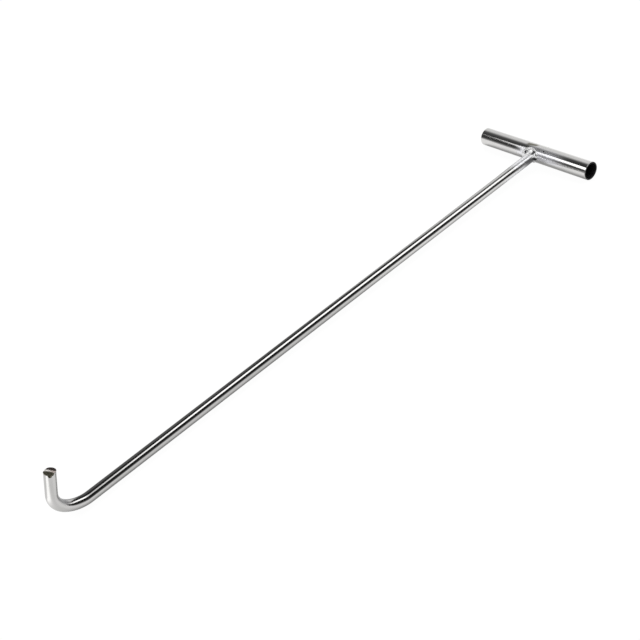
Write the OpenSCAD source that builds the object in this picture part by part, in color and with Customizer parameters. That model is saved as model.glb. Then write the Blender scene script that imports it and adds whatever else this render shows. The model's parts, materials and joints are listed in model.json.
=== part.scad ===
// Manhole cover lifter: a round steel bar bent into a hook, with a plain tube welded across its end as a handle.
// It lies as it rests on a floor. X runs along the bar to the handle, Y along the handle, and Z up with the hook.
// The origin is the middle of the footprint, on the floor.

/* [Bar] */
// Diameter of the round bar
bar_d = 12; // [8:0.5:16]
// Length of the bar as cut, along its centre line from the tip to the tube's skin
bar_cut_l = 700; // [500:10:1000]

/* [Hook] */
// Centre-line radius of the wide bend, next to the shank
wide_bend_r = 32; // [26:1:45]
// Angle of the wide bend
wide_bend_deg = 45; // [30:1:60]
// Centre-line radius of the tight bend, next to the leg
tight_bend_r = 19; // [14:1:26]
// Angle of the tight bend
tight_bend_deg = 70; // [50:1:85]
// Straight length of the leg, from the bend to the land across the tip
leg_l = 27; // [18:1:50]
// How much the bar's radius draws in through each bend
bend_thin = 0.03; // [0.01:0.01:0.1]

/* [Cropped tip] */
// Width of the flat land that the cropping blades leave across the tip
land_w = 2.5; // [1:0.1:4]
// Slope of the flank on the outside of the hook
outer_flank_deg = 18; // [5:1:30]
// Slope of the flank on the handle's side
inner_flank_deg = 5; // [2:1:15]
// Turn of the outer flank about the leg, from the handle's side
flank_turn_deg = 217; // [180:1:270]
// Radius of the nick bitten out of the rim
nick_r = 2.4; // [1.5:0.1:3]
// Distance of the nick's centre outside the bar's skin
nick_out = 0.8; // [0.2:0.1:1.2]
// Distance of the nick's centre below the land
nick_drop = 2; // [0.5:0.1:4]
// Turn of the nick about the leg, from the handle's side
nick_turn_deg = 251; // [180:1:360]

/* [Handle] */
// Outside diameter of the handle tube
tube_d = 21.3; // [18:0.1:34]
// Wall of the handle tube
tube_wall = 2; // [1.2:0.1:3.5]
// Length of the handle tube
handle_l = 160; // [110:1:260]
// Chamfer that takes the burr off the tube's rims
rim_chamfer = 0.4; // [0.1:0.1:0.5]

/* [Weld] */
// Width of the bead on the tube, from the bar's skin to the toe
weld_tube_leg = 6.5; // [4:0.1:8]
// Height of the bead where it wets the bar
weld_bar_leg = 2.5; // [1.5:0.1:4]
// Height of the bead's crown above a flat face from leg to leg
weld_crown = 0.9; // [0.3:0.1:1.5]
// Depth of the groove between the crown and the bar
weld_groove = 0.5; // [0:0.05:0.8]
// Height of the ripples left by each pulse of the weld
ripple_h = 0.2; // [0:0.05:0.4]
// Number of ripples round the bar
ripple_count = 24; // [12:1:32]

/* [Hidden] */
$fn = 96;

// How far a bend runs on inside the thicker stretch beside it
bend_lap = 0.5;

bar_r = bar_d / 2;
tube_r = tube_d / 2;
bore_r = tube_r - tube_wall;

// Lengths along the bar's centre line, from the tip back to the handle
tight_arc_l = tight_bend_r * tight_bend_deg * PI / 180;
wide_arc_l = wide_bend_r * wide_bend_deg * PI / 180;
shank_l = bar_cut_l - leg_l - tight_arc_l - wide_arc_l;

// The shank starts at the wide bend, at zero, and points at the middle of the tube
tube_x = shank_l + tube_r;

// Centre of the tight bend, in the hook's plane
tight_centre_x = -(wide_bend_r - tight_bend_r) * sin(wide_bend_deg);
tight_centre_z = wide_bend_r - (wide_bend_r - tight_bend_r) * cos(wide_bend_deg);

// Lying down, the tube and the wide bend's underside both touch the floor, so the bar slopes a little
rest_reach = norm([tube_x, wide_bend_r]);
rest_deg = asin((tube_r - bar_r - wide_bend_r) / rest_reach) + atan(wide_bend_r / tube_x);
rest_lift = tube_r - tube_x * sin(rest_deg);

// Ends of the part along the floor
handle_end_x = tube_x * cos(rest_deg) + tube_r;
hook_end_x = tight_centre_x * cos(rest_deg) - tight_centre_z * sin(rest_deg) - tight_bend_r - bar_r;
middle_x = (handle_end_x + hook_end_x) / 2;

// The bead's mesh: sections round the bar for each ripple, and points from leg to leg in each section
ripple_steps = 4;
bead_sections = ripple_count * ripple_steps;
bead_points = 8;
// How far each section runs into the bar, as a share of the bar's radius, and past the toe, as a share of the leg
bury_share = 0.5;
toe_share = 0.1;
// Depth of each section's foot below the tube's skin, as a share of the wall
foot_share = 0.6;
// Unevenness of the bead: long swells, a narrower underside, and a crater where the weld stopped
swell_share = 0.08;
swell_deg = 40;
under_share = 0.25;
crater_share = 0.3;
crater_deg = 215;
crater_half_deg = 20;
// How far the middle of each ripple lags behind its ends, as a share of the spacing
lag_share = 0.6;

// Lays a piece drawn along the bar down on the floor, about the origin
module laid_down() {
    translate([-middle_x, 0, rest_lift])
        rotate([0, -rest_deg, 0])
            children();
}

// One bend of the bar: it starts at zero along -X and turns upwards, and its ends may run on into their neighbours
module bend(radius, turn, thin, lap_in, lap_out) {
    in_deg = lap_in / radius * 180 / PI;
    out_deg = lap_out / radius * 180 / PI;
    translate([0, 0, radius])
        rotate([-90, 90, 0])
            rotate([0, 0, -in_deg])
                rotate_extrude(angle = in_deg + turn + out_deg)
                    translate([radius, 0])
                        circle(r = bar_r - thin);
}

// Places a piece at the far end of a bend
module after_bend(radius, turn) {
    translate([-radius * sin(turn), 0, radius * (1 - cos(turn))])
        rotate([0, turn, 0])
            children();
}

// Everything above a slope that falls away from the land, on one side of the tip
module above_flank(slope, turn) {
    rotate([0, 0, turn])
        translate([land_w / 2, -bar_d, leg_l])
            rotate([0, slope, 0])
                cube([bar_d, 2 * bar_d, bar_d]);
}

// The straight leg along +Z, with the end that the cropping blades leave and the nick in its rim
module leg() {
    difference() {
        cylinder(r = bar_r, h = leg_l);
        above_flank(outer_flank_deg, flank_turn_deg);
        above_flank(inner_flank_deg, flank_turn_deg - 180);
        rotate([0, 0, nick_turn_deg])
            translate([bar_r + nick_out, 0, leg_l - nick_drop])
                sphere(r = nick_r);
    }
}

// The shank, from the wide bend to the middle of the tube
module shank() {
    rotate([0, 90, 0])
        cylinder(r = bar_r, h = tube_x);
}

// The tube's outside, as a solid bar across the end of the shank
module tube_outside() {
    translate([tube_x, 0, 0])
        rotate([90, 0, 0])
            cylinder(r = tube_r, h = handle_l, center = true);
}

// The bar, with its end coped to sit on the tube
module hook_bar() {
    color("silver") laid_down() {
        difference() {
            shank();
            tube_outside();
        }
        bend(wide_bend_r, wide_bend_deg, bend_thin, bend_lap, 0);
        after_bend(wide_bend_r, wide_bend_deg) {
            bend(tight_bend_r, tight_bend_deg, 2 * bend_thin, bend_lap, bend_lap);
            after_bend(tight_bend_r, tight_bend_deg)
                rotate([0, -90, 0])
                    leg();
        }
    }
}

// The tube, open at both ends
module handle_tube() {
    half_l = handle_l / 2;
    color("gainsboro") laid_down()
        translate([tube_x, 0, 0])
            rotate([90, 0, 0])
                rotate_extrude()
                    polygon([
                        [bore_r, -half_l + rim_chamfer],
                        [bore_r + rim_chamfer, -half_l],
                        [tube_r - rim_chamfer, -half_l],
                        [tube_r, -half_l + rim_chamfer],
                        [tube_r, half_l - rim_chamfer],
                        [tube_r - rim_chamfer, half_l],
                        [bore_r + rim_chamfer, half_l],
                        [bore_r, half_l - rim_chamfer],
                    ]);
}

// Size of the bead at an angle round the bar, from the handle's +Y end through the top
function bead_size(a) =
    (1 + swell_share * sin(2 * a + swell_deg) - under_share * max(0, -sin(a)))
    * (1 - crater_share * exp(-pow((a - crater_deg) / crater_half_deg, 2)));

// Ripple of the bead, fading out at both legs, for a share t of the way from the bar to the toe
function ripple(a, t) =
    ripple_h * max(0, sin(180 * t)) * cos(ripple_count * a + 360 * lag_share * sin(180 * t));

// Height of the bead over the tube's skin
function bead_h(a, t) =
    bead_size(a) * (weld_bar_leg * (1 - t) + weld_crown * sin(180 * t) - weld_groove * sin(360 * t))
    + ripple(a, t);

// A point at a share t of the way from the bar to the toe, and a height over the tube's skin
function bead_point(a, t, h) =
    let (
        out = weld_tube_leg * bead_size(a) * t,
        wrap = asin(bar_r * sin(a) / tube_r) + out * sin(a) / tube_r * 180 / PI
    )
    [tube_x - (tube_r + h) * cos(wrap), (bar_r + out) * cos(a), (tube_r + h) * sin(wrap)];

// One closed section of the bead: its face from inside the bar to past the toe, then its foot
function bead_section(a) =
    let (start = -bury_share * bar_r / (weld_tube_leg * bead_size(a)), end = 1 + toe_share)
    [
        for (i = [0 : bead_points - 1])
            let (t = start + (end - start) * i / (bead_points - 1))
            bead_point(a, t, bead_h(a, t)),
        bead_point(a, start, -foot_share * tube_wall),
    ];

// A closed ring through sections that all have the same number of points
module ring(sections) {
    count = len(sections);
    size = len(sections[0]);
    polyhedron(
        points = [for (s = sections) each s],
        faces = [
            for (i = [0 : count - 1], j = [0 : size - 1])
                let (
                    here = i * size,
                    next = (i + 1) % count * size,
                    k = (j + 1) % size
                )
                each [[here + j, here + k, next + k], [here + j, next + k, next + j]],
        ]
    );
}

// The rippled fillet weld, seated on the bar and on the tube
module weld_bead() {
    color("lightgray") laid_down()
        difference() {
            ring([for (i = [0 : bead_sections - 1]) bead_section(360 * i / bead_sections)]);
            tube_outside();
            shank();
        }
}

hook_bar();
handle_tube();
weld_bead();
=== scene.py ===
"""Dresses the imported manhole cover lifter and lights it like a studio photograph.

The lifter is a round bar bent into a hook, a plain tube across the bar's end as a handle, and the weld that
joins the two, all of it zinc plated. Lengths are in metres and angles in radians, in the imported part's frame.
"""

import json
import logging
import math
from dataclasses import dataclass
from enum import Enum, IntEnum
from typing import Any, Optional, Sequence, Union

import bmesh
import bpy
from mathutils import Euler, Matrix, Vector

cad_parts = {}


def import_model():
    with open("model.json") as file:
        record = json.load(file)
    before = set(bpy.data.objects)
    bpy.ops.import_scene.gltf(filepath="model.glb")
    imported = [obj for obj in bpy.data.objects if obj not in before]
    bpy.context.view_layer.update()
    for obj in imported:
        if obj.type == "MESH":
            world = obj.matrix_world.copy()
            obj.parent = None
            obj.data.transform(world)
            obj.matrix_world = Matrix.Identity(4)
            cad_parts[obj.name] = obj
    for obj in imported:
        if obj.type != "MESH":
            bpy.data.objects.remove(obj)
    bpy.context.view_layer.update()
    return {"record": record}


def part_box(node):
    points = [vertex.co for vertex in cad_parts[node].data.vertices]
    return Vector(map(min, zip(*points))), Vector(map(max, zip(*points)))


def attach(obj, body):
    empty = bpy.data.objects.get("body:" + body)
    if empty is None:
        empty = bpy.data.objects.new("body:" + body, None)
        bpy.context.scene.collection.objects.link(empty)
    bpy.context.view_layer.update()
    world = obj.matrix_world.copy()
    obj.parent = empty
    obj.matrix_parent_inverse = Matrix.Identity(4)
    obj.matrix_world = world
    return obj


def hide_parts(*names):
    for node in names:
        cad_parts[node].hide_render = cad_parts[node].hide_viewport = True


LOG = logging.getLogger("cover_lifter")
BODY = "root"
MM = 0.001
TURN = 2 * math.pi
NOISE_MIDDLE = 0.5

Colour = tuple[float, float, float]
Point = tuple[float, float, float]
Span = tuple[float, float]
Grain = tuple[float, ...]
Value = Union["Wire", float]
Paint = Union["Wire", Colour]

BLACK: Colour = (0.0, 0.0, 0.0)
WHITE: Colour = (1.0, 1.0, 1.0)


class CadNode(Enum):
    """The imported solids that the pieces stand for."""

    BAR = "hook_bar"
    TUBE = "handle_tube"
    WELD = "weld_bead"


class Slot(Enum):
    """The record's material slots."""

    BAR = "bar_zinc"
    TUBE = "tube_zinc"
    WELD = "weld_zinc"


class TubeFace(IntEnum):
    """The tube's finishes, in the order of its material slots."""

    SKIN = 0
    RIM = 1
    BORE = 2


class Wire:
    """A node socket that stands for its value in Python expressions."""

    def __init__(self, board: "Board", socket: Optional[bpy.types.NodeSocket]) -> None:
        """Keeps the socket and the board that its node stands on."""
        self.board = board
        self.socket = socket

    def _math(self, operation: str, *values: Value) -> "Wire":
        """Returns what one Math node makes of its values, in the order of its sockets."""
        return self.board.node("ShaderNodeMath", {"operation": operation}, dict(enumerate(values)))

    def __add__(self, other: Value) -> "Wire":
        """Returns the sum."""
        return self._math("ADD", self, other)

    __radd__ = __add__

    def __sub__(self, other: Value) -> "Wire":
        """Returns the difference."""
        return self._math("SUBTRACT", self, other)

    def __rsub__(self, other: Value) -> "Wire":
        """Returns the difference from a number."""
        return self._math("SUBTRACT", other, self)

    def __mul__(self, other: Value) -> "Wire":
        """Returns the product."""
        return self._math("MULTIPLY", self, other)

    __rmul__ = __mul__

    def __truediv__(self, other: Value) -> "Wire":
        """Returns the quotient."""
        return self._math("DIVIDE", self, other)

    def __rtruediv__(self, other: Value) -> "Wire":
        """Returns the quotient of a number."""
        return self._math("DIVIDE", other, self)

    def __neg__(self) -> "Wire":
        """Returns the value with its sign changed."""
        return self._math("MULTIPLY", self, -1.0)

    def __abs__(self) -> "Wire":
        """Returns the value without its sign."""
        return self._math("ABSOLUTE", self)

    def squared(self) -> "Wire":
        """Returns the value times itself."""
        return self._math("MULTIPLY", self, self)

    def root(self) -> "Wire":
        """Returns the square root."""
        return self._math("SQRT", self)

    def sin(self) -> "Wire":
        """Returns the sine."""
        return self._math("SINE", self)

    def cos(self) -> "Wire":
        """Returns the cosine."""
        return self._math("COSINE", self)

    def arcsin(self) -> "Wire":
        """Returns the angle with this sine."""
        return self._math("ARCSINE", self)

    def exp(self) -> "Wire":
        """Returns e to this power."""
        return self._math("EXPONENT", self)

    def least(self, other: Value) -> "Wire":
        """Returns the smaller of two values."""
        return self._math("MINIMUM", self, other)

    def most(self, other: Value) -> "Wire":
        """Returns the larger of two values."""
        return self._math("MAXIMUM", self, other)

    def above(self, edge: Value) -> "Wire":
        """Returns 1 where the value is over the edge, and 0 elsewhere."""
        return self._math("GREATER_THAN", self, edge)

    def within(self, low: Value, high: Value) -> "Wire":
        """Returns the value held between two limits."""
        return self.most(low).least(high)

    def fade(self, start: float, end: float, unit: float = 1.0) -> "Wire":
        """Returns a smooth step from 0 at the start to 1 at the end, both given as multiples of a unit."""
        sockets = {"Value": self, "From Min": start * unit, "From Max": end * unit}
        return self.board.node("ShaderNodeMapRange", {"interpolation_type": "SMOOTHSTEP"}, sockets)

    def window(self, start: Span, end: Span) -> "Wire":
        """Returns a step that fades in over one span and out over another."""
        return self.fade(*start) * (1 - self.fade(*end))

    def inset(self, margin: float) -> "Wire":
        """Returns 1 for values from 0 to 1, faded over a margin inside both ends."""
        return self.window((0.0, margin), (1 - margin, 1.0))

    def hump(self, centre: Value, width: float) -> "Wire":
        """Returns a soft hump, which is 1 at its centre and fades beyond its width."""
        return (-((self - centre) / width).squared()).exp()

    def between(self, start: Value, end: Value) -> "Wire":
        """Returns the value that lies this share of the way from one value to another."""
        return start + (end - start) * self

    def way_along(self, start: float, end: float) -> "Wire":
        """Returns how far the value lies from a start towards an end, where it is 1."""
        return (self - start) / (end - start)

    def centred(self) -> "Wire":
        """Returns noise as a swing to both sides of 0."""
        return self - NOISE_MIDDLE

    def axes(self) -> tuple["Wire", "Wire", "Wire"]:
        """Returns a vector's three numbers."""
        first = self.board.node("ShaderNodeSeparateXYZ", None, {"Vector": self}, "X")
        return first, first.beside("Y"), first.beside("Z")

    def beside(self, name: str) -> "Wire":
        """Returns another output of the same node."""
        return Wire(self.board, self.socket.node.outputs[name])


class Board:
    """A node tree that is being built."""

    def __init__(self, tree: bpy.types.NodeTree) -> None:
        """Keeps the tree."""
        self.tree = tree

    def node(
        self,
        kind: str,
        settings: Optional[dict[str, Any]] = None,
        sockets: Optional[dict[Union[str, int], Any]] = None,
        output: Union[str, int] = 0,
    ) -> Wire:
        """Adds a node.

        Args:
            kind: The node's type.
            settings: Its properties, which are set first.
            sockets: The value, the link or the list of links of each input, by the input's name or number.
            output: The output that is wanted.

        Returns:
            That output, or an empty wire for a node with none.
        """
        made = self.tree.nodes.new(kind)
        for name, value in (settings or {}).items():
            setattr(made, name, value)
        for key, value in (sockets or {}).items():
            socket = self._open(made.inputs, key)
            for part in value if isinstance(value, list) else [value]:
                if isinstance(part, Wire):
                    self.tree.links.new(part.socket, socket)
                else:
                    socket.default_value = part
        return Wire(self, self._open(made.outputs, output) if made.outputs else None)

    @staticmethod
    def _open(sockets: Sequence[bpy.types.NodeSocket], key: Union[str, int]) -> bpy.types.NodeSocket:
        """Finds one of a node's sockets.

        Args:
            sockets: The node's inputs or outputs.
            key: The socket's number, or its name.

        Returns:
            The socket. Of several with one name, it is the one that the node's settings leave in use.
        """
        if isinstance(key, int):
            return sockets[key]
        return next(socket for socket in sockets if socket.name == key and socket.enabled)

    def vector(self, x: Value, y: Value, z: Value) -> Wire:
        """Returns a vector of three numbers."""
        return self.node("ShaderNodeCombineXYZ", None, {"X": x, "Y": y, "Z": z})

    def noise(self, place: Sequence[Value], grain: Grain, seed: float, detail: float = 2.0) -> Wire:
        """Adds soft noise.

        Args:
            place: Where it is read, as two or three lengths.
            grain: The size of its grains along each of these.
            seed: Which noise it is.
            detail: How many finer grains are laid over the first.

        Returns:
            The noise, between 0 and 1.
        """
        flat = [0.0] * (3 - len(place))
        x, y, z = [part / size for part, size in zip(place, grain)] + flat
        sockets = {"Vector": self.vector(x, y, z), "W": seed, "Scale": 1.0, "Detail": detail}
        return self.node("ShaderNodeTexNoise", {"noise_dimensions": "4D"}, sockets)

    def blend(self, share: Value, first: Paint, second: Paint) -> Wire:
        """Returns two colours mixed, by the share of the second."""
        sockets = {"Factor": share, "A": self.full(first), "B": self.full(second)}
        return self.node("ShaderNodeMix", {"data_type": "RGBA"}, sockets, "Result")

    @staticmethod
    def full(colour: Paint) -> Union[Wire, tuple[float, ...]]:
        """Returns a colour with the opacity that a colour socket needs."""
        return colour if isinstance(colour, Wire) else (*colour, 1.0)


@dataclass
class Coat:
    """What a finish shows: its colour, its gloss, and its relief in metres."""

    colour: Paint
    roughness: Value
    relief: Optional[Wire] = None
    metallic: Value = 1.0


class PaintBoard(Board):
    """The nodes of one material."""

    def __init__(self, name: str) -> None:
        """Adds an empty material.

        Args:
            name: The material's name.
        """
        self.material = bpy.data.materials.new(name)
        self.material.use_nodes = True
        self.material.node_tree.nodes.clear()
        super().__init__(self.material.node_tree)

    def place(self) -> tuple[Wire, Wire, Wire]:
        """Returns the place on the piece, in metres."""
        return self.node("ShaderNodeTexCoord", None, None, "Object").axes()

    def stored(self, name: str) -> tuple[Wire, Wire, Wire]:
        """Returns a vector that the piece's mesh holds."""
        settings = {"attribute_type": "GEOMETRY", "attribute_name": name}
        return self.node("ShaderNodeAttribute", settings, None, "Vector").axes()

    def shade(self, shader: Wire) -> bpy.types.Material:
        """Returns the material, ended in a shader."""
        self.node("ShaderNodeOutputMaterial", None, {"Surface": shader})
        return self.material

    def finish(self, coat: Coat) -> bpy.types.Material:
        """Ends the material in a metal's shader.

        Args:
            coat: What the finish shows.

        Returns:
            The material.
        """
        sockets = {
            "Base Color": self.full(coat.colour),
            "Roughness": coat.roughness,
            "Metallic": coat.metallic,
        }
        if coat.relief is not None:
            sockets["Normal"] = self.node("ShaderNodeBump", None, {"Distance": 1.0, "Height": coat.relief})
        return self.shade(self.node("ShaderNodeBsdfPrincipled", None, sockets))


class GrowthBoard(Board):
    """A Geometry Nodes tree with named sizes, which makes one plain mesh."""

    def __init__(self, name: str) -> None:
        """Adds an empty tree.

        Args:
            name: The tree's name.
        """
        super().__init__(bpy.data.node_groups.new(name, "GeometryNodeTree"))
        self.tree.interface.new_socket("Geometry", in_out="OUTPUT", socket_type="NodeSocketGeometry")
        self.entry = self.tree.nodes.new("NodeGroupInput")
        self.sizes: dict[str, Any] = {}

    def size(self, name: str, value: Union[float, int]) -> Wire:
        """Adds a named input.

        Args:
            name: What the size is.
            value: The size of this piece.

        Returns:
            The input.
        """
        kind = "NodeSocketInt" if isinstance(value, int) else "NodeSocketFloat"
        socket = self.tree.interface.new_socket(name, in_out="INPUT", socket_type=kind)
        self.sizes[socket.identifier] = value
        return Wire(self, self.entry.outputs[name])

    def place(self) -> tuple[Wire, Wire, Wire]:
        """Returns the place of each point."""
        return self.node("GeometryNodeInputPosition").axes()

    def moved(self, geometry: Wire, x: Value, y: Value, z: Value) -> Wire:
        """Returns the geometry with its points at new places."""
        sockets = {"Geometry": geometry, "Position": self.vector(x, y, z)}
        return self.node("GeometryNodeSetPosition", None, sockets)

    def store(self, geometry: Wire, name: str, value: Wire) -> Wire:
        """Keeps a vector on each point of the mesh.

        Args:
            geometry: The mesh.
            name: The name that materials read.
            value: The vector.

        Returns:
            The mesh with the vector.
        """
        settings = {"data_type": "FLOAT_VECTOR", "domain": "POINT"}
        sockets = {"Geometry": geometry, "Name": name, "Value": value}
        return self.node("GeometryNodeStoreNamedAttribute", settings, sockets)

    def random(self, low: float, high: float, seed: Value) -> Wire:
        """Returns a number for each point, between two limits."""
        sockets = {"Min": low, "Max": high, "Seed": seed}
        return self.node("FunctionNodeRandomValue", {"data_type": "FLOAT"}, sockets, "Value")

    def grow(
        self,
        name: str,
        geometry: Wire,
        coats: list[tuple[bpy.types.Material, Union[Wire, bool]]],
    ) -> bpy.types.Object:
        """Ends the tree, runs it once and keeps the result as a plain mesh.

        Args:
            name: The piece's name.
            geometry: What the tree has made.
            coats: Materials, each with the selection of faces that takes it.

        Returns:
            The piece.
        """
        geometry = self.node("GeometryNodeSetShadeSmooth", None, {"Geometry": geometry})
        geometry = self.node("GeometryNodeRealizeInstances", None, {"Geometry": geometry})
        for material, faces in coats:
            sockets = {"Geometry": geometry, "Selection": faces, "Material": material}
            geometry = self.node("GeometryNodeSetMaterial", None, sockets)
        self.node("NodeGroupOutput", None, {"Geometry": geometry})
        piece = new_object(name, bpy.data.meshes.new(name))
        grower = piece.modifiers.new(name, "NODES")
        grower.node_group = self.tree
        for identifier, value in self.sizes.items():
            grower[identifier] = value
        graph = bpy.context.evaluated_depsgraph_get()
        grown = piece.evaluated_get(graph)
        piece_mesh = bpy.data.meshes.new_from_object(grown, preserve_all_data_layers=True, depsgraph=graph)
        piece.modifiers.remove(grower)
        piece.data = piece_mesh
        while piece_mesh.materials[0] is None:
            piece_mesh.materials.pop(index=0)
        return piece


def new_object(name: str, data: bpy.types.ID) -> bpy.types.Object:
    """Puts an object into the scene.

    Args:
        name: The object's name.
        data: Its mesh, with its place in it, or its camera.

    Returns:
        The object, at the origin.
    """
    made = bpy.data.objects.new(name, data)
    bpy.context.scene.collection.objects.link(made)
    return made


def hand_over(piece: bpy.types.Object, node: CadNode) -> None:
    """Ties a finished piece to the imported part.

    Args:
        piece: The piece.
        node: The solid that it stands for.
    """
    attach(piece, BODY)
    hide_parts(node.value)
    LOG.info("%s: %d faces, stands for %s", piece.name, len(piece.data.polygons), node.value)


@dataclass(frozen=True)
class Lay:
    """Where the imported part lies, from its record and its solids."""

    tube_centre: Vector
    tube_r: float
    bore_r: float
    tube_half: float
    bar_r: float
    leg_l: float
    leg_rise: float

    @classmethod
    def of_part(cls, record: dict[str, Any]) -> "Lay":
        """Reads the places.

        Args:
            record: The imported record.

        Returns:
            The places and sizes that the pieces share.
        """
        mounts = {mount["name"]: mount for mount in record["mounts"]}
        bore = mounts["handle_bore"]
        leg = mounts["hook_leg"]
        low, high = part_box(CadNode.TUBE.value)
        return cls(
            tube_centre=Vector(bore["pos_m"]),
            tube_r=(high.z - low.z) / 2,
            bore_r=bore["dims"]["r_mm"] * MM,
            tube_half=(high.y - low.y) / 2,
            bar_r=leg["dims"]["r_mm"] * MM,
            leg_l=leg["dims"]["length_mm"] * MM,
            leg_rise=math.atan2(leg["axis"][2], leg["axis"][0]),
        )


@dataclass(frozen=True)
class ZincFinish:
    """Bright zinc plate over drawn steel, with the faint lines and clouds of the steel under it."""

    tone: Colour = (0.57, 0.562, 0.556)
    cloud_tone: Colour = (0.548, 0.545, 0.535)
    cloud_edge: Span = (0.35, 0.65)
    roughness: float = 0.105
    line_swing: float = 0.03
    cloud_swing: float = 0.06
    scratch_swing: float = 0.05
    scratch_w: float = 0.012
    mark_h: float = 0.0015 * MM
    line_grain: Grain = (0.9 * MM, 0.9 * MM, 45 * MM)
    cloud_grain: Grain = (14 * MM,) * 3
    mark_grain: Grain = (32 * MM, 32 * MM, 8 * MM)
    scratch_grain: Grain = (7 * MM, 7 * MM, 21 * MM)
    seed: float = 3.0

    def coat(self, board: Board, across: Wire, over: Wire, along: Wire) -> Coat:
        """Works out the plate's look.

        Args:
            board: The material's nodes.
            across: Place across the metal's grain.
            over: Place across the grain, square to the first.
            along: Place along the grain.

        Returns:
            The look.
        """
        place = (across, over, along)
        lines = board.noise(place, self.line_grain, self.seed)
        clouds = board.noise(place, self.cloud_grain, self.seed + 1, detail=4.0)
        marks = board.noise(place, self.mark_grain, self.seed + 2, detail=0.5)
        ridges = board.noise(place, self.scratch_grain, self.seed + 3, detail=3.0)
        scratches = 1 - abs(ridges.centred()).fade(0.0, self.scratch_w)
        rough = self.roughness + self.line_swing * lines.centred() + self.cloud_swing * clouds.centred()
        return Coat(
            colour=board.blend(clouds.fade(*self.cloud_edge), self.tone, self.cloud_tone),
            roughness=rough + self.scratch_swing * scratches,
            relief=self.mark_h * marks,
        )


@dataclass(frozen=True)
class Frost:
    """The pale haze that a weld's heat leaves on zinc plate."""

    tone: Colour
    roughness: float = 0.1
    dullness: float = 0.35

    def over(self, board: Board, coat: Coat, there: Wire) -> Coat:
        """Lays the haze over a plate.

        Args:
            board: The material's nodes.
            coat: The plate's look.
            there: How much haze there is, between 0 and 1.

        Returns:
            The look with the haze.
        """
        return Coat(
            colour=board.blend(there, coat.colour, self.tone),
            roughness=coat.roughness + self.roughness * there,
            relief=coat.relief,
            metallic=coat.metallic - self.dullness * there,
        )


@dataclass(frozen=True)
class BarZincFinish:
    """The bar's zinc plate, hazy towards the weld, with painted shade on its lower side near the weld, and dull
    where the hook's inside was squeezed.

    Each side is in shares of the bar's radius. Other places are lengths.
    """

    plate: ZincFinish = ZincFinish()
    frost: Frost = Frost(tone=(0.88, 0.88, 0.9), roughness=0.08, dullness=0.55)
    frost_way: Span = (0.67, 0.74)
    upper_frost: Span = (37 * MM, 22 * MM)
    upper_side: Span = (-0.3, -0.05)
    lower_frost: Span = (58 * MM, 38 * MM)
    lower_side: Span = (-0.5, -0.7)
    # Painted shade: the bar's lower side darkens near the weld, standing in for the dark crevice that it
    # reflects.
    crevice_shade: Colour = (0.12, 0.12, 0.125)
    crevice_shade_share: float = 0.85
    crevice_shade_run: Span = (19 * MM, 8.5 * MM)
    crevice_shade_side: Span = (0.55, 0.25)
    squeeze: Frost = Frost(tone=(0.45, 0.45, 0.455), roughness=0.35, dullness=0.0)
    squeeze_start: Span = (18 * MM, 30 * MM)
    squeeze_end: Span = (40 * MM, 50 * MM)
    squeeze_side: Span = (0.5, 0.8)

    def material(self, lay: Lay, shank_l: float) -> bpy.types.Material:
        """Makes the material.

        Args:
            lay: Where the bar lies.
            shank_l: The length of the shank, from the tube to the bends.

        Returns:
            The material.
        """
        board = PaintBoard("bar_zinc_plate")
        across, over, along = board.stored("drawn")
        radius = lay.bar_r
        coat = self.plate.coat(board, across, over, along)
        squeezed = (along - shank_l).window(self.squeeze_start, self.squeeze_end)
        coat = self.squeeze.over(board, coat, squeezed * across.fade(*self.squeeze_side, radius))
        facing = self.frost_way[0] * over + self.frost_way[1] * across
        upper = facing.fade(*self.upper_side, radius) * along.fade(*self.upper_frost)
        lower = facing.fade(*self.lower_side, radius) * along.fade(*self.lower_frost)
        coat = self.frost.over(board, coat, upper + lower)
        # Painted shade on the bar's lower side near the weld.
        crevice_shaded = across.fade(*self.crevice_shade_side, radius) * along.fade(*self.crevice_shade_run)
        coat.colour = board.blend(self.crevice_shade_share * crevice_shaded, coat.colour, self.crevice_shade)
        return board.finish(coat)


@dataclass(frozen=True)
class CroppedFinish:
    """Bare steel where the bar was cropped: a burnished land between torn flanks, with a painted highlight on
    the land.

    The land's edge is in shares of its width.
    """

    # Painted highlight: the burnished land's near-white colour, dimming along the land.
    land: Colour = (1.0, 0.97, 0.92)
    dim_land: Colour = (0.62, 0.54, 0.5)
    back: Colour = (0.06, 0.043, 0.038)
    front: Colour = (0.1, 0.092, 0.066)
    land_roughness: float = 0.4
    flank_roughness: float = 0.5
    rough_swing: float = 0.2
    land_metal: float = 0.15
    flank_metal: float = 0.7
    land_edge: Span = (0.42, 0.58)
    land_fray: float = 0.6 * MM
    land_dimming: Span = (-3 * MM, 3 * MM)
    flank_edge: Span = (-0.3 * MM, 0.3 * MM)
    polish: Span = (-0.2, 0.4)
    relief: float = 0.05 * MM
    grain: Grain = (0.32 * MM, 0.8 * MM)
    seed: float = 11.0

    def material(self, turn: float, land_w: float, land_shift: float) -> bpy.types.Material:
        """Makes the material.

        Args:
            turn: Which way the outer flank faces, round the leg.
            land_w: The land's width.
            land_shift: How far the land lies off the leg's axis, that way.

        Returns:
            The material.
        """
        board = PaintBoard("cropped_steel")
        across, over, _ = board.stored("drawn")
        toward = across * math.cos(turn) + over * math.sin(turn) - land_shift
        beside = over * math.cos(turn) - across * math.sin(turn)
        grain = board.noise((toward, beside), self.grain, self.seed, detail=4.0)
        on_land = 1 - (abs(toward) + self.land_fray * grain.centred()).fade(*self.land_edge, land_w)
        flanks = board.blend(toward.fade(*self.flank_edge), self.back, self.front)
        # Painted highlight on the land, dimmer towards one end.
        land = board.blend(beside.fade(*self.land_dimming), self.land, self.dim_land)
        shown = on_land * grain.fade(*self.polish)
        rough = on_land.between(self.flank_roughness, self.land_roughness)
        return board.finish(Coat(
            colour=board.blend(shown, flanks, land),
            roughness=rough + self.rough_swing * grain.centred(),
            relief=self.relief * grain,
            metallic=shown.between(self.flank_metal, self.land_metal),
        ))


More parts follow.
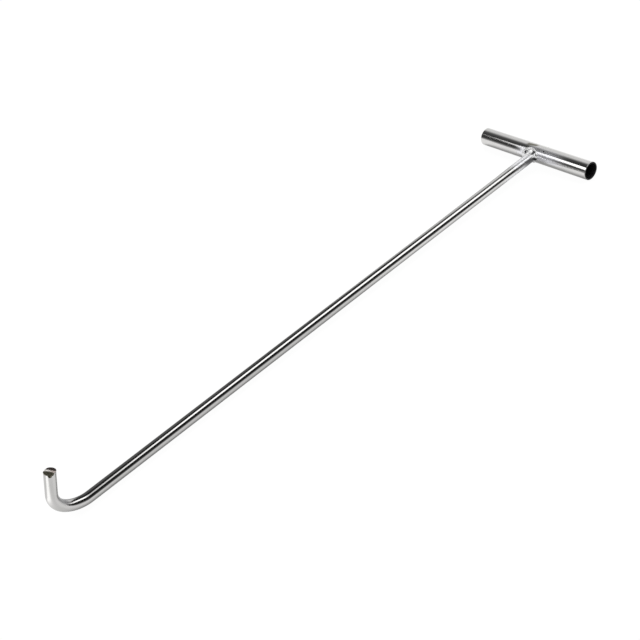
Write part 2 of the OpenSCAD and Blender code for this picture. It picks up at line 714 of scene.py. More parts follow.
@dataclass(frozen=True)
class DullFinish:
    """Near-black steel: the tube's sawn rims, and its bore, where the near-black colour is painted shade."""

    name: str
    tone: Colour
    roughness: float
    metallic: float
    grain: float = 1.2 * MM
    relief: float = 0.03 * MM
    rough_swing: float = 0.2
    scale_light: float = 1.7
    scale_edge: Span = (0.45, 0.75)
    seed: float = 21.0

    def material(self) -> bpy.types.Material:
        """Makes the material.

        Returns:
            The material.
        """
        board = PaintBoard(self.name)
        scale = board.noise(board.place(), (self.grain,) * 3, self.seed, detail=4.0)
        lighter = tuple(self.scale_light * part for part in self.tone)
        colour = board.blend(scale.fade(*self.scale_edge), self.tone, lighter)
        rough = self.roughness + self.rough_swing * scale.centred()
        return board.finish(Coat(colour, rough, self.relief * scale, self.metallic))


@dataclass
class HookBar:
    """The round bar: a shank, two bends into a hook, and a leg cropped at its tip.

    The torn edge is in shares of the width of the tip's land.
    """

    lay: Lay
    cut_l: float = 700 * MM
    wide_bend_r: float = 32 * MM
    wide_turn: float = math.radians(45)
    tight_bend_r: float = 19 * MM
    tight_turn: float = math.radians(70)
    land_w: float = 2.5 * MM
    land_shift: float = 0.5 * MM
    corner_w: float = 2.6 * MM
    corner_h: float = 1.4 * MM
    outer_fall: float = math.tan(math.radians(18))
    inner_fall: float = math.tan(math.radians(5))
    crop_turn: float = math.radians(222)
    nick_out: float = 0.8 * MM
    nick_w: float = 2.7 * MM
    nick_depth: float = 3.9 * MM
    nick_turn: float = math.radians(249)
    lip_w: float = 3.1 * MM
    lip_depth: float = 2.3 * MM
    lip_turn: float = math.radians(267)
    roll_w: float = 0.6 * MM
    roll_h: float = 0.25 * MM
    tear_h: float = 0.25 * MM
    tear_grain: Grain = (0.66 * MM, 1.1 * MM)
    torn_edge: Span = (0.5, 0.7)
    cope_reach: float = 60 * MM
    crowding: float = 0.9
    sides: int = 128
    rows: int = 300
    rings: int = 18
    seed: float = 5.0

    @property
    def bends_turn(self) -> float:
        """Returns the turn of both bends together."""
        return self.wide_turn + self.tight_turn

    @property
    def shank_l(self) -> float:
        """Returns the length of the straight shank, from the tube's skin to the bends."""
        bends = self.wide_bend_r * self.wide_turn + self.tight_bend_r * self.tight_turn
        return self.cut_l - self.lay.leg_l - bends

    @property
    def tilt(self) -> float:
        """Returns how far the shank slopes where the lifter lies on the floor."""
        return self.lay.leg_rise + self.bends_turn - math.pi

    @property
    def start(self) -> Vector:
        """Returns the place where the wide bend starts."""
        reach = self.shank_l + self.lay.tube_r
        return self.lay.tube_centre - reach * Vector((math.cos(self.tilt), 0.0, math.sin(self.tilt)))

    def laid_down(self, board: GrowthBoard, geometry: Wire) -> Wire:
        """Lays geometry that is drawn along the shank down where the lifter lies."""
        sockets = {"Geometry": geometry, "Translation": self.start, "Rotation": Euler((0.0, -self.tilt, 0.0))}
        return board.node("GeometryNodeTransform", None, sockets)

    def tip_drop(self, board: GrowthBoard, radius: Wire, across: Wire, over: Wire) -> Wire:
        """Works out how far the cropped tip falls below its land.

        Args:
            board: The bar's nodes.
            radius: The bar's radius.
            across: Place across the bar, from the handle's side.
            over: Place across the bar, along the handle.

        Returns:
            The fall at that place.
        """
        land = board.size("Land width", self.land_w)
        crop = board.size("Crop turn", self.crop_turn)
        toward = across * crop.cos() + over * crop.sin() - board.size("Land shift", self.land_shift)
        beside = over * crop.cos() - across * crop.sin()
        outer = (toward - land / 2).most(0.0) * board.size("Outer fall", self.outer_fall)
        inner = (-toward - land / 2).most(0.0) * board.size("Inner fall", self.inner_fall)
        corner_w = board.size("Corner width", self.corner_w)
        past_corner = (corner_w - radius - beside).most(0.0) / corner_w
        corner = board.size("Corner fall", self.corner_h) * past_corner.squared()
        fall = outer + inner + corner
        for name, turn, width, depth in (
            ("Nick", self.nick_turn, self.nick_w, self.nick_depth),
            ("Lip", self.lip_turn, self.lip_w, self.lip_depth),
        ):
            way = board.size(f"{name} turn", turn)
            reach = radius + board.size(f"{name} reach", self.nick_out)
            near = (across - reach * way.cos()).squared() + (over - reach * way.sin()).squared()
            spread = (near / board.size(f"{name} width", width).squared()).squared()
            fall = fall.most(board.size(f"{name} depth", depth) * (1 - spread))
        tear = board.noise((toward, beside), self.tear_grain, self.seed, detail=3.0).centred()
        torn = abs(toward).fade(*self.torn_edge, self.land_w)
        roll_w = board.size("Rolled rim width", self.roll_w)
        rim = ((across.squared() + over.squared()).root() - radius + roll_w).most(0.0) / roll_w
        rolled = board.size("Rolled rim height", self.roll_h) * rim.squared()
        return fall + board.size("Tear height", self.tear_h) * tear * torn + rolled

    def build(self, skin: bpy.types.Material, crop: bpy.types.Material) -> bpy.types.Object:
        """Bends a straight rod into the hook, with its tip cropped and its other end coped to the tube.

        Args:
            skin: The plated finish.
            crop: The bare finish of the cropped tip.

        Returns:
            The bar.
        """
        board = GrowthBoard("bent_bar")
        radius = board.size("Bar radius", self.lay.bar_r)
        length = board.size("Cut length", self.cut_l)
        shank = board.size("Shank length", self.shank_l)
        leg_l = board.size("Leg length", self.lay.leg_l)
        wide_r = board.size("Wide bend radius", self.wide_bend_r)
        wide_turn = board.size("Wide bend turn", self.wide_turn)
        tight_r = board.size("Tight bend radius", self.tight_bend_r)
        tight_turn = board.size("Tight bend turn", self.tight_turn)
        tube_r = board.size("Tube radius", self.lay.tube_r)
        sockets = {
            "Vertices": board.size("Sides", self.sides),
            "Side Segments": board.size("Rows", self.rows),
            "Fill Segments": board.size("Rings", self.rings),
            "Radius": radius,
            "Depth": length,
        }
        rod = board.node("GeometryNodeMeshCylinder", {"fill_type": "TRIANGLE_FAN"}, sockets)
        across, over, up = board.place()
        share = up / length + 0.5
        even = length * (share - self.crowding / TURN * (share * TURN).sin())
        cope = (tube_r.squared() - across.squared()).root() - tube_r
        at_tube = 1 - (even / self.cope_reach).within(0.0, 1.0)
        on_leg = ((even - length + leg_l) / leg_l).within(0.0, 1.0)
        along = even + at_tube * cope - on_leg * self.tip_drop(board, radius, across, over)
        marked = board.store(rod, "drawn", board.vector(across, over, along))
        past = along - shank
        wide = (past / wide_r).within(0.0, wide_turn)
        tight = ((past - wide_r * wide_turn) / tight_r).within(0.0, tight_turn)
        leg = (past - wide_r * wide_turn - tight_r * tight_turn).most(0.0)
        turn = wide + tight
        both = wide_turn + tight_turn
        bend_x = wide_r * wide.sin() + tight_r * ((wide_turn + tight).sin() - wide_turn.sin())
        bend_z = wide_r * (1 - wide.cos()) + tight_r * (wide_turn.cos() - (wide_turn + tight).cos())
        x = shank - along.least(shank) - bend_x - leg * both.cos() + across * turn.sin()
        z = bend_z + leg * both.sin() + across * turn.cos()
        bent = self.laid_down(board, board.moved(marked, x, over, z))
        return board.grow("hook_bar_skin", bent, [(skin, True), (crop, rod.beside("Top"))])

    def dress(self) -> bpy.types.Object:
        """Makes the bar with its finishes.

        Returns:
            The bar.
        """
        skin = BarZincFinish().material(self.lay, self.shank_l)
        crop = CroppedFinish().material(self.crop_turn, self.land_w, self.land_shift)
        bar = self.build(skin, crop)
        hand_over(bar, CadNode.BAR)
        return bar


@dataclass(frozen=True)
class HandleZincFinish:
    """The handle's zinc plate, frosted by the weld's heat, stained in a streak over the weld, and with a
    painted shadow in the crevice beside the bar.

    Each side and rise, and the streak's middle, are in shares of the tube's radius. Other places are lengths.
    """

    plate: ZincFinish = ZincFinish(line_grain=(0.9 * MM, 0.9 * MM, 30 * MM), seed=31.0)
    cloud_size: float = 9 * MM
    front_side: Span = (0.1, -0.6)
    low_side: Span = (-0.5, -0.75)
    frost: Frost = Frost(tone=(0.765, 0.765, 0.8))
    frost_start: Span = (9 * MM, -2 * MM)
    low_start: Span = (28 * MM, 11 * MM)
    frost_end: Span = (-26 * MM, -58 * MM)
    frost_cloud: Span = (-0.3, 0.7)
    frost_rise: Span = (-0.15, 0.12)
    bloom: Frost = Frost(tone=(0.95, 0.95, 0.97), roughness=0.2, dullness=0.85)
    bloom_share: float = 0.8
    bloom_start: Span = (18 * MM, 12 * MM)
    bloom_end: Span = (6 * MM, 2 * MM)
    bloom_rise: Span = (0.15, 0.4)
    stain: Colour = (0.13, 0.125, 0.09)
    stain_share: float = 0.9
    stain_roughness: float = 0.12
    streak_run: Span = (13 * MM, -6 * MM)
    streak_ends: float = 0.25
    streak_middle: Span = (-0.14, 0.14)
    streak_sway: float = 0.2
    streak_side: Span = (0.078, 0.26)
    streak_rise: Span = (0.0, 0.5)
    # Painted shadow: a near-black spot in the crevice beside the bar, where it meets the tube.
    crevice_shade: Colour = (0.012, 0.012, 0.013)
    crevice_shade_roughness: float = 0.4
    crevice_shade_y: float = -7.2 * MM
    crevice_shade_edge: Span = (2.6 * MM, 1.56 * MM)
    crevice_shade_side: Span = (-0.5, -0.7)
    seed: float = 41.0

    def material(self, lay: Lay) -> bpy.types.Material:
        """Makes the material.

        Args:
            lay: Where the tube lies.

        Returns:
            The material.
        """
        board = PaintBoard("tube_zinc_plate")
        x, y, z = board.place()
        radius = lay.tube_r
        out = x - lay.tube_centre.x
        rise = z - lay.tube_centre.z
        coat = self.plate.coat(board, out, rise, y)
        cloud = board.noise((x, y, z), (self.cloud_size,) * 3, self.seed, detail=3.0)
        front = out.fade(*self.front_side, radius)
        low = out.fade(*self.low_side, radius)
        start = y.fade(*self.frost_start) * front + y.fade(*self.low_start) * low
        frosted = start.least(1.0) * (1 - y.fade(*self.frost_end)) * cloud.fade(*self.frost_cloud)
        coat = self.frost.over(board, coat, frosted * rise.fade(*self.frost_rise, radius))
        bloomed = y.window(self.bloom_start, self.bloom_end) * low * rise.fade(*self.bloom_rise, radius)
        coat = self.bloom.over(board, coat, self.bloom_share * bloomed)
        run = y.way_along(*self.streak_run)
        off = abs(out / radius - run.between(*self.streak_middle) + self.streak_sway * cloud.centred())
        streak = run.inset(self.streak_ends) * (1 - off.fade(*self.streak_side))
        stained = streak * rise.fade(*self.streak_rise, radius)
        coat.colour = board.blend(self.stain_share * stained, coat.colour, self.stain)
        # Painted shadow in the crevice beside the bar.
        spot = ((y - self.crevice_shade_y).squared() + rise.squared()).root()
        crevice_shaded = spot.fade(*self.crevice_shade_edge) * out.fade(*self.crevice_shade_side, radius)
        coat.colour = board.blend(crevice_shaded, coat.colour, self.crevice_shade)
        coat.roughness = coat.roughness + self.stain_roughness * stained + self.crevice_shade_roughness * crevice_shaded
        return board.finish(coat)


@dataclass
class HandleTube:
    """The plain tube across the bar's end, open at both ends."""

    lay: Lay
    rim_r: float = 0.4 * MM
    lead: float = 0.5 * MM
    sides: int = 160
    rows: int = 48
    rim_steps: int = 5
    rim: DullFinish = DullFinish("sawn_rim", (0.022, 0.022, 0.023), roughness=0.45, metallic=0.8)
    # Painted shade: the bore's near-black colour.
    bore: DullFinish = DullFinish(
        "tube_bore_shade", (0.02, 0.02, 0.021), roughness=0.55, metallic=0.7, grain=3 * MM,
    )

    def _arc(self, radius: float, reach: float, start: float) -> list[Span]:
        """Returns a quarter circle that rounds one corner, by the place of its centre and its first angle."""
        turns = [start + math.pi / 2 * step / self.rim_steps for step in range(self.rim_steps + 1)]
        return [(radius + self.rim_r * math.cos(a), reach + self.rim_r * math.sin(a)) for a in turns]

    def _wall(self, radius: float, start: float, end: float) -> list[Span]:
        """Runs along one wall, with a narrow row at each end that keeps its shading straight.

        Args:
            radius: Distance of the wall from the tube's axis.
            start: Where it starts, along the tube.
            end: Where it ends.

        Returns:
            Points of the wall, between the narrow rows.
        """
        lead = math.copysign(self.lead, end - start)
        first, last = start + lead, end - lead
        step = (last - first) / self.rows
        return [(radius, first + step * row) for row in range(self.rows + 1)]

    def section(self) -> list[tuple[float, float, TubeFace]]:
        """Draws the wall's closed section.

        Returns:
            Distance from the axis, place along the tube, and the finish that starts there.
        """
        lay = self.lay
        reach = lay.tube_half - self.rim_r
        outer = lay.tube_r - self.rim_r
        inner = lay.bore_r + self.rim_r
        middle = (outer + inner) / 2
        skin = self._wall(lay.tube_r, -reach, reach)
        far_edge = self._arc(outer, reach, 0.0)
        far_rim = [(middle, lay.tube_half)] + self._arc(inner, reach, math.pi / 2)
        bore = self._wall(lay.bore_r, reach, -reach)
        near_rim = self._arc(inner, -reach, math.pi) + [(middle, -lay.tube_half)]
        near_edge = self._arc(outer, -reach, 1.5 * math.pi)
        parts = (
            (skin + far_edge[:-1], TubeFace.SKIN),
            (far_edge[-1:] + far_rim, TubeFace.RIM),
            (bore, TubeFace.BORE),
            (near_rim, TubeFace.RIM),
            (near_edge, TubeFace.SKIN),
        )
        return [(radius, y, finish) for points, finish in parts for radius, y in points]

    def build(self) -> bpy.types.Object:
        """Turns the section round the tube's axis.

        Returns:
            The tube, without its finishes.
        """
        section = self.section()
        centre = self.lay.tube_centre
        points = []
        for side in range(self.sides):
            turn = TURN * side / self.sides
            points += [centre + Vector((r * math.cos(turn), y, r * math.sin(turn))) for r, y, _ in section]
        count = len(section)
        faces = []
        finishes = []
        for side in range(self.sides):
            here = side * count
            beyond = (side + 1) % self.sides * count
            for spot in range(count):
                following = (spot + 1) % count
                faces.append((here + spot, here + following, beyond + following, beyond + spot))
                finishes.append(section[spot][2])
        mesh = bpy.data.meshes.new("handle_tube_skin")
        mesh.from_pydata(points, [], faces)
        mesh.polygons.foreach_set("material_index", finishes)
        mesh.polygons.foreach_set("use_smooth", [True] * len(faces))
        work = bmesh.new()
        work.from_mesh(mesh)
        bmesh.ops.recalc_face_normals(work, faces=work.faces)
        work.to_mesh(mesh)
        work.free()
        return new_object("handle_tube_skin", mesh)

    def dress(self) -> bpy.types.Object:
        """Makes the tube with its finishes.

        Returns:
            The tube.
        """
        tube = self.build()
        for material in (HandleZincFinish().material(self.lay), self.rim.material(), self.bore.material()):
            tube.data.materials.append(material)
        hand_over(tube, CadNode.TUBE)
        return tube


@dataclass(frozen=True)
class WeldZincFinish:
    """Zinc plate over the weld, darkened by painted shade in its pits and seam and where it wets the bar."""

    tone: Colour = (0.82, 0.82, 0.82)
    # Painted shade: the near-black colour of the weld's pits, seam and wet line.
    hollow_shade: Colour = (0.025, 0.025, 0.027)
    roughness: float = 0.3
    hollow_shade_roughness: float = 0.45
    rough_swing: float = 0.1
    metallic: float = 0.55
    pit_edge: Span = (0.2, 0.5)
    wet_share: float = 0.03
    wet_edge: Span = (0.02, 0.12)
    wet_grain: Span = (0.35, 0.6)
    wet_line_shade: float = 0.25
    relief: float = 0.02 * MM
    grain: float = 1.5 * MM
    seed: float = 51.0

    def material(self) -> bpy.types.Material:
        """Makes the material.

        Returns:
            The material.
        """
        board = PaintBoard("weld_zinc_plate")
        share, pit, _ = board.stored("bead")
        grain = board.noise(board.place(), (self.grain,) * 3, self.seed, detail=4.0)
        # Painted shade along the line where the bead wets the bar, and in the pits and seam.
        wet_line = 1 - abs(share - self.wet_share).fade(*self.wet_edge)
        wet = self.wet_line_shade * wet_line * grain.fade(*self.wet_grain)
        hollow_shaded = (pit.fade(*self.pit_edge) + wet).within(0.0, 1.0)
        rough = hollow_shaded.between(self.roughness, self.hollow_shade_roughness)
        return board.finish(Coat(
            colour=board.blend(hollow_shaded, self.tone, self.hollow_shade),
            roughness=rough + self.rough_swing * grain.centred(),
            relief=self.relief * grain,
            metallic=self.metallic,
        ))


@dataclass(frozen=True)
class Pit:
    """A hollow in the weld, by its turn round the bar and its share of the way from there to the toe."""

    turn: float
    share: float
    depth: float
    turn_w: float
    share_w: float
    # How much painted shade the pit takes.
    hollow_shade: float = 1.0


@dataclass
class WeldBead:
    """The rippled fillet weld between the bar and the tube, with the drops that it threw off."""

    bar: HookBar
    tube_wall: float = 2 * MM
    tube_leg: float = 6.5 * MM
    bar_leg: float = 2.5 * MM
    crown: float = 0.9 * MM
    groove: float = 0.5 * MM
    ripple_h: float = 0.11 * MM
    ripple_count: int = 24
    ripple_lag: float = 0.6
    swell: float = 0.08
    swell_turn: float = math.radians(40)
    underside: float = 0.4
    crater: float = 0.68
    crater_turn: float = math.radians(210)
    crater_w: float = math.radians(36)
    cap: float = 0.8
    cap_turn: float = math.radians(82)
    cap_w: float = math.radians(32)
    seam_turns: Span = (math.radians(45), math.radians(152))
    seam_shares: Span = (0.25, 0.86)
    seam_ends: float = 0.1
    seam_w: float = 0.08
    seam_depth: float = 0.22 * MM
    # Painted shade along the seam.
    seam_shade: float = 0.32
    bury: float = 0.5
    past_toe: float = 0.1
    foot: float = 0.6
    lump_h: float = 0.3 * MM
    lump_size: float = 5 * MM
    pits: tuple[Pit, ...] = (
        Pit(math.radians(45), 0.27, depth=0.8 * MM, turn_w=math.radians(12), share_w=0.2),
        Pit(math.radians(127), 0.34, depth=0.55 * MM, turn_w=math.radians(15), share_w=0.65, hollow_shade=0.52),
        Pit(math.radians(152), 0.82, depth=0.3 * MM, turn_w=math.radians(5), share_w=0.1, hollow_shade=0.45),
        Pit(math.radians(180), 0.35, depth=1.3 * MM, turn_w=math.radians(14), share_w=0.6, hollow_shade=1.5),
    )
    sink: float = 0.3 * MM
    sections: int = 288
    face_rows: int = 40
    join_gap: float = 0.001 * MM
    drops: int = 13
    drop_sides: int = 2
    drop_turns: Span = (math.radians(-20), math.radians(200))
    drop_away: Span = (15 * MM, 30 * MM)
    drop_r: Span = (0.15 * MM, 0.5 * MM)
    stray_wrap: float = math.radians(63)
    stray_y: float = -17 * MM
    stray_r: float = 1.0 * MM
    seed: int = 7

    @staticmethod
    def near(turn: Wire, centre: float, width: float) -> Wire:
        """Returns how near a turn is to a centre, the same after a whole turn so that the ring closes."""
        return (((turn - centre).cos() - 1) * (2 / width**2)).exp()

    def size_round(self, board: GrowthBoard, turn: Wire) -> Wire:
        """Works out the bead's size round the bar.

        Args:
            board: The weld's nodes.
            turn: The turn from the handle's far end, over the top.

        Returns:
            The size, as a share of the usual one.
        """
        swell = board.size("Swell", self.swell) * (2 * turn + self.swell_turn).sin()
        under = board.size("Underside", self.underside) * (-turn.sin()).most(0.0)
        crater = self.near(turn, self.crater_turn, self.crater_w)
        return (1 + swell - under) * (1 - board.size("Crater", self.crater) * crater)

    def hollows(self, turn: Wire, share: Wire) -> tuple[Wire, Wire]:
        """Works out the bead's seam and pits.

        Args:
            turn: The turn round the bar.
            share: The share of the way to the toe.

        Returns:
            Their painted shade and their depth.
        """
        run = turn.way_along(*self.seam_turns)
        ends = run.window((-self.seam_ends, self.seam_ends), (1 - self.seam_ends, 1 + self.seam_ends))
        seam = share.hump(run.between(*self.seam_shares), self.seam_w) * ends
        # Painted shade gathers in the seam and in each pit.
        hollow_shade = self.seam_shade * seam
        depth = self.seam_depth * seam
        for pit in self.pits:
            here = self.near(turn, pit.turn, pit.turn_w) * share.hump(pit.share, pit.share_w)
            hollow_shade = hollow_shade + pit.hollow_shade * here
            depth = depth + pit.depth * here
        return hollow_shade, depth

    def bead(self, board: GrowthBoard) -> Wire:
        """Makes the ring of weld metal.

        Args:
            board: The weld's nodes.

        Returns:
            The ring, drawn along the shank.
        """
        bar_r = board.size("Bar radius", self.bar.lay.bar_r)
        tube_r = board.size("Tube radius", self.bar.lay.tube_r)
        tube_leg = board.size("Tube leg", self.tube_leg)
        # Two more rows close the section: one at a foot in the tube's wall, and one back at its start.
        rows = self.face_rows + 2
        counts = {"Vertices X": board.size("Sections", self.sections + 1), "Vertices Y": rows}
        strip = board.node("GeometryNodeMeshGrid", None, {"Size X": TURN, "Size Y": 1.0, **counts})
        place_x, place_y, _ = board.place()
        turn = place_x + math.pi
        row = (place_y + 0.5) * (rows - 1)
        tail = row.above(self.face_rows - 0.5)
        at_foot = tail * (1 - row.above(self.face_rows + 0.5))
        size = self.size_round(board, turn)
        start = -(self.bury * bar_r) / (tube_leg * size)
        steps = (row / (self.face_rows - 1)).least(1.0) * (1 - tail)
        share = steps.between(start, 1 + self.past_toe)
        arch = (share * math.pi).sin()
        cap = board.size("Cap", self.cap) * self.near(turn, self.cap_turn, self.cap_w)
        flat = board.size("Bar leg", self.bar_leg) * (1 - share) * (1 + cap)
        crown = board.size("Crown", self.crown) * arch
        groove = board.size("Groove", self.groove) * (share * TURN).sin()
        wave = (board.size("Ripples", self.ripple_count) * turn + TURN * self.ripple_lag * arch).cos()
        ripple = board.size("Ripple height", self.ripple_h) * arch.most(0.0) * wave
        out = tube_leg * size * share
        reach = bar_r + out
        side = reach * turn.cos()
        lumps = board.noise((side, reach * turn.sin()), (self.lump_size,) * 2, self.seed).centred()
        height = size * (flat + crown - groove) + ripple + self.lump_h * lumps * arch.most(0.0)
        hollow_shade, depth = self.hollows(turn, share)
        height = (height - depth).most(-self.sink)
        height = at_foot.between(height, -board.size("Foot", self.foot * self.tube_wall))
        wrap = (bar_r * turn.sin() / tube_r).arcsin() + out * turn.sin() / tube_r
        # Keeps each point's share of the way to the toe and its painted shade.
        marked = board.store(strip, "bead", board.vector(share, hollow_shade, 0.0))
        x = self.bar.shank_l + tube_r - (tube_r + height) * wrap.cos()
        ring = board.moved(marked, x, side, (tube_r + height) * wrap.sin())
        return board.node("GeometryNodeMergeByDistance", None, {"Geometry": ring, "Distance": self.join_gap})

    def spatter(self, board: GrowthBoard) -> Wire:
        """Scatters small drops of weld metal over the tube round the bead.

        Args:
            board: The weld's nodes.

        Returns:
            The drops, drawn along the shank.
        """
        tube_r = self.bar.lay.tube_r
        seed = board.size("Seed", self.seed)
        spots = board.node("GeometryNodePoints", None, {"Count": board.size("Drops", self.drops)})
        turn = board.random(*self.drop_turns, seed)
        away = board.random(*self.drop_away, seed + 1)
        wrap = away * turn.sin() / tube_r
        x = self.bar.shank_l + tube_r - tube_r * wrap.cos()
        spots = board.moved(spots, x, away * turn.cos(), tube_r * wrap.sin())
        drop = board.node("GeometryNodeMeshIcoSphere", None, {"Radius": 1.0, "Subdivisions": self.drop_sides})
        size = board.random(*self.drop_r, seed + 2)
        sockets = {"Points": spots, "Instance": drop, "Scale": board.vector(size, size, size)}
        return board.node("GeometryNodeInstanceOnPoints", None, sockets)

    def stray(self, board: GrowthBoard) -> Wire:
        """Makes the one large drop that lies dark on the tube, beside the bead.

        Args:
            board: The weld's nodes.

        Returns:
            The drop, drawn along the shank.
        """
        tube_r = self.bar.lay.tube_r
        drop = {"Radius": board.size("Stray drop radius", self.stray_r), "Subdivisions": self.drop_sides + 1}
        ball = board.node("GeometryNodeMeshIcoSphere", None, drop)
        x = self.bar.shank_l + tube_r - tube_r * math.cos(self.stray_wrap)
        place = Vector((x, self.stray_y, tube_r * math.sin(self.stray_wrap)))
        moved = board.node("GeometryNodeTransform", None, {"Geometry": ball, "Translation": place})
        return board.store(moved, "bead", board.vector(1.0, 1.0, 0.0))

    def dress(self) -> bpy.types.Object:
        """Makes the weld with its finish.

        Returns:
            The weld.
        """
        board = GrowthBoard("weld_ring")
        pieces = [self.bead(board), self.spatter(board), self.stray(board)]
        joined = board.node("GeometryNodeJoinGeometry", None, {"Geometry": pieces})
        laid = self.bar.laid_down(board, joined)
        weld = board.grow("weld_bead_skin", laid, [(WeldZincFinish().material(), True)])
        hand_over(weld, CadNode.WELD)
        return weld


@dataclass(frozen=True)
class SoftPanel:
    """A flat softbox, by its corners, which fades out towards its edges and whose long edges may bow."""

    name: str
    corners: tuple[Point, ...]
    radiance: float
    feather: Span
    bow: Span = (0.0, 0.0)
    steps: int = 24

    def material(self) -> bpy.types.Material:
        """Makes the glowing cloth.

        Returns:
            The material.
        """
        board = PaintBoard(self.name)
        u, v, _ = board.node("ShaderNodeTexCoord", None, None, "UV").axes()
        wide, high = self.feather
        there = u.inset(wide) * v.inset(high)
        clear = board.node("ShaderNodeBsdfTransparent")
        lit = board.node("ShaderNodeEmission", None, {"Strength": self.radiance})
        return board.shade(board.node("ShaderNodeMixShader", None, {0: there, 1: clear, 2: lit}))

    def edge(self, start: int, end: int, bow: float) -> list[Vector]:
        """Draws one long edge, which bows out as a parabola.

        Args:
            start: Number of the corner where it starts.
            end: Number of the corner where it ends.
            bow: How far its middle bows out, along +Y.

        Returns:
            Points of the edge.
        """
        first, last = Vector(self.corners[start]), Vector(self.corners[end])
        points = []
        for step in range(self.steps + 1):
            share = step / self.steps
            points.append(first.lerp(last, share) + Vector((0.0, 4 * bow * share * (1 - share), 0.0)))
        return points

    def build(self) -> None:
        """Hangs the panel, out of the camera's sight."""
        low = self.edge(0, 1, self.bow[0])
        high = self.edge(3, 2, self.bow[1])
        count = self.steps + 1
        faces = [(i, i + 1, count + i + 1, count + i) for i in range(self.steps)]
        mesh = bpy.data.meshes.new(self.name)
        mesh.from_pydata(low + high, [], faces)
        layer = mesh.uv_layers.new(name="panel")
        for loop in mesh.loops:
            layer.data[loop.index].uv = (loop.vertex_index % count / self.steps, loop.vertex_index // count)
        mesh.materials.append(self.material())
        panel = new_object(self.name, mesh)
        panel.visible_camera = False
        panel.visible_shadow = False


@dataclass(frozen=True)
class Glow:
    """A soft patch of light on the studio's walls, with its angles in degrees."""

    azimuth: float
    elevation: float
    spread: float
    radiance: float

    def light(self, board: Board, way: Wire) -> Wire:
        """Works out the patch's light.

        Args:
            board: The studio's nodes.
            way: The direction that is looked in.

        Returns:
            The light from there.
        """
        turn, rise = math.radians(self.azimuth), math.radians(self.elevation)
        aim = (math.cos(rise) * math.cos(turn), math.cos(rise) * math.sin(turn), math.sin(rise))
        near = board.node("ShaderNodeVectorMath", {"operation": "DOT_PRODUCT"}, {0: way, 1: aim}, "Value")
        return self.radiance * ((near - 1) / (1 - math.cos(math.radians(self.spread)))).exp()


@dataclass(frozen=True)
class FloorPatch:
    """A soft-edged stretch of the floor that takes more or less light than the rest."""

    share: float
    x_in: Span
    x_out: Optional[Span] = None
    y_in: Optional[Span] = None

    def light(self, x: Wire, y: Wire) -> Wire:
        """Works out the patch's light.

        Args:
            x: Place along the floor.
            y: Place across the floor.

        Returns:
            The light, as a share of the usual one.
        """
        there = x.fade(*self.x_in)
        if self.x_out:
            there = there * (1 - x.fade(*self.x_out))
        if self.y_in:
            there = there * y.fade(*self.y_in)
        return there.between(1.0, self.share)


@dataclass(frozen=True)
class FloorFinish:
    """The plain pale floor, lit like a light table, and shaded where the lifter keeps the light off it."""

    reach: float = 120 * MM
    shut_at: float = 0.5
    open_at: float = 0.98
    seen_shut: float = 0.98
    seen_open: float = 1.03
    radiance: float = 1.25
    usual_share: float = 0.74
    shut_share: float = 0.34
    patches: tuple[FloorPatch, ...] = (
        FloorPatch(1.42, x_in=(-0.02, 0.18)),
        FloorPatch(0.05, x_in=(0.12, 0.27), y_in=(-0.05, -0.14)),
        FloorPatch(0.45, x_in=(-0.36, -0.28), x_out=(0.0, 0.15), y_in=(0.02, 0.12)),
        FloorPatch(1.12, x_in=(-0.27, -0.3), x_out=(-0.31, -0.335)),
    )

    def material(self) -> bpy.types.Material:
        """Makes the material.

        Returns:
            The material.
        """
        board = PaintBoard("pale_floor")
        x, y, _ = board.place()
        free = board.node("ShaderNodeAmbientOcclusion", None, {"Distance": self.reach}, "AO")
        free = free.fade(self.shut_at, self.open_at)
        share = self.usual_share * free.between(self.shut_share, 1.0)
        for patch in self.patches:
            share = share * patch.light(x, y)
        colour = board.blend(share, BLACK, WHITE)
        mirrored = board.node("ShaderNodeEmission", None, {"Color": colour, "Strength": self.radiance})
        pale = board.blend(free, (self.seen_shut,) * 3, (self.seen_open,) * 3)
        plain = board.node("ShaderNodeEmission", None, {"Color": pale})
        seen = board.node("ShaderNodeLightPath", None, None, "Is Camera Ray")
        return board.shade(board.node("ShaderNodeMixShader", None, {0: seen, 1: mirrored, 2: plain}))


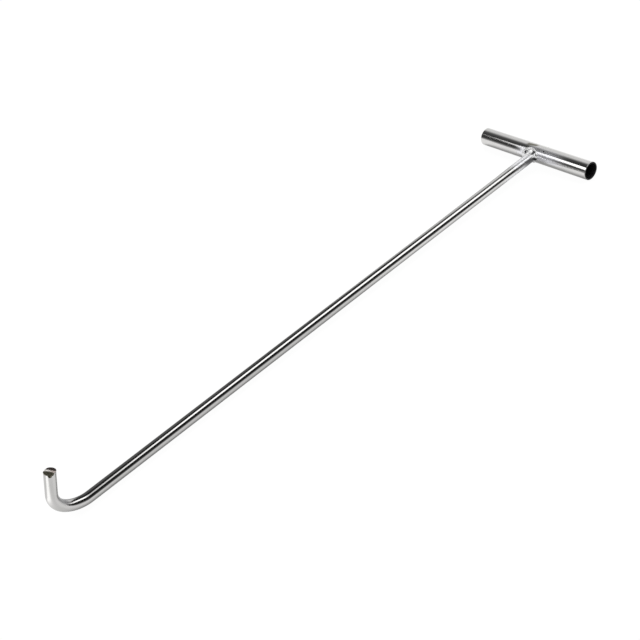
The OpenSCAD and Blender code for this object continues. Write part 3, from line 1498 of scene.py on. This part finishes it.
@dataclass
class Studio:
    """The floor, the soft light and the camera."""

    floor_half: float = 6.0
    floor_drop: float = 0.05 * MM
    backdrop: float = 1.0
    ambient: float = 0.016
    horizon: float = 0.06
    horizon_h: float = 0.12
    eye: Point = (-0.328707, -0.675630, 0.616394)
    azimuth: float = math.radians(64.910)
    fall: float = math.radians(39.237)
    roll: float = math.radians(-20.767)
    lens: float = 50.973
    sensor: float = 36.0
    panels: tuple[SoftPanel, ...] = (
        SoftPanel(
            "strip_box",
            ((-0.50, -0.66, 0.8), (1.30, -1.265, 0.8), (1.30, -0.714, 0.8), (-0.50, -0.322, 0.8)),
            radiance=2.05,
            feather=(0.25, 0.09),
            bow=(0.486, 0.55),
        ),
        SoftPanel(
            "strip_end",
            ((0.85, -0.75, 0.8), (1.90, -1.45, 0.8), (1.90, -0.75, 0.8), (0.85, -0.2, 0.8)),
            radiance=2.05,
            feather=(0.43, 0.09),
        ),
        SoftPanel(
            "right_box",
            ((0.36, -0.05, 0.5), (2.30, -0.05, 0.5), (2.30, 1.90, 0.5), (0.28, 1.90, 0.5)),
            radiance=1.0,
            feather=(0.2, 0.2),
        ),
        SoftPanel(
            "key_box",
            ((-3.0, -1.6, 2.0), (-0.8, -1.6, 2.0), (-0.8, 2.08, 2.0), (-3.0, 2.70, 2.0)),
            radiance=2.55,
            feather=(0.06, 0.1),
        ),
        SoftPanel(
            "hook_box",
            ((-0.80, -0.25, 0.002), (-0.34, -0.07, 0.002), (-0.34, 0.05, 0.002), (-0.80, 0.08, 0.002)),
            radiance=1.75,
            feather=(0.22, 0.3),
        ),
    )
    glows: tuple[Glow, ...] = (
        Glow(azimuth=36.0, elevation=6.0, spread=14.0, radiance=1.2),
        Glow(azimuth=54.0, elevation=16.0, spread=9.0, radiance=0.48),
        Glow(azimuth=84.0, elevation=34.0, spread=22.0, radiance=0.16),
        Glow(azimuth=139.0, elevation=0.0, spread=9.0, radiance=0.4),
        Glow(azimuth=192.0, elevation=25.0, spread=26.0, radiance=0.8),
        Glow(azimuth=-76.0, elevation=0.0, spread=11.0, radiance=0.58),
        Glow(azimuth=-20.0, elevation=12.0, spread=11.0, radiance=0.88),
    )

    def floor(self) -> None:
        """Lays the floor."""
        half = self.floor_half
        mesh = bpy.data.meshes.new("floor")
        corners = ((-half, -half), (half, -half), (half, half), (-half, half))
        mesh.from_pydata([(x, y, -self.floor_drop) for x, y in corners], [], [(0, 1, 2, 3)])
        mesh.materials.append(FloorFinish().material())
        new_object("floor", mesh)

    def walls(self) -> None:
        """Lights the studio's walls, which the camera itself sees as a plain pale backdrop."""
        world = bpy.data.worlds.new("studio")
        world.use_nodes = True
        world.node_tree.nodes.clear()
        bpy.context.scene.world = world
        board = Board(world.node_tree)
        way = board.node("ShaderNodeTexCoord", None, None, "Generated")
        _, _, rise = way.axes()
        light = self.ambient + self.horizon * (-(abs(rise) / self.horizon_h)).exp()
        for glow in self.glows:
            light = light + glow.light(board, way)
        seen = board.node("ShaderNodeLightPath", None, None, "Is Camera Ray")
        sockets = {"Color": board.full(WHITE), "Strength": seen.between(light, self.backdrop)}
        shader = board.node("ShaderNodeBackground", None, sockets)
        board.node("ShaderNodeOutputWorld", None, {"Surface": shader})

    def camera(self) -> None:
        """Sets up the camera at the photograph's angle."""
        forward = Vector((
            math.cos(self.fall) * math.cos(self.azimuth),
            math.cos(self.fall) * math.sin(self.azimuth),
            -math.sin(self.fall),
        ))
        level = Vector((math.sin(self.azimuth), -math.cos(self.azimuth), 0.0))
        upright = level.cross(forward)
        right = math.cos(self.roll) * level + math.sin(self.roll) * upright
        up = math.cos(self.roll) * upright - math.sin(self.roll) * level
        data = bpy.data.cameras.new("camera")
        data.lens = self.lens
        data.sensor_width = self.sensor
        seat = new_object("camera", data)
        turned = Matrix((right, up, -forward)).transposed().to_4x4()
        seat.matrix_world = Matrix.Translation(self.eye) @ turned
        bpy.context.scene.camera = seat

    def build(self) -> None:
        """Sets the stage."""
        bpy.context.scene.view_settings.view_transform = "Standard"
        self.floor()
        self.walls()
        for panel in self.panels:
            panel.build()
        self.camera()
        LOG.info("studio: floor, %d panels and camera", len(self.panels))


def main() -> None:
    """Dresses the part and sets the stage."""
    logging.basicConfig(level=logging.INFO, format="%(message)s")
    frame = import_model()
    lay = Lay.of_part(frame["record"])
    bar = HookBar(lay)
    bar.dress()
    HandleTube(lay).dress()
    WeldBead(bar).dress()
    Studio().build()


if __name__ == "__main__":
    main()
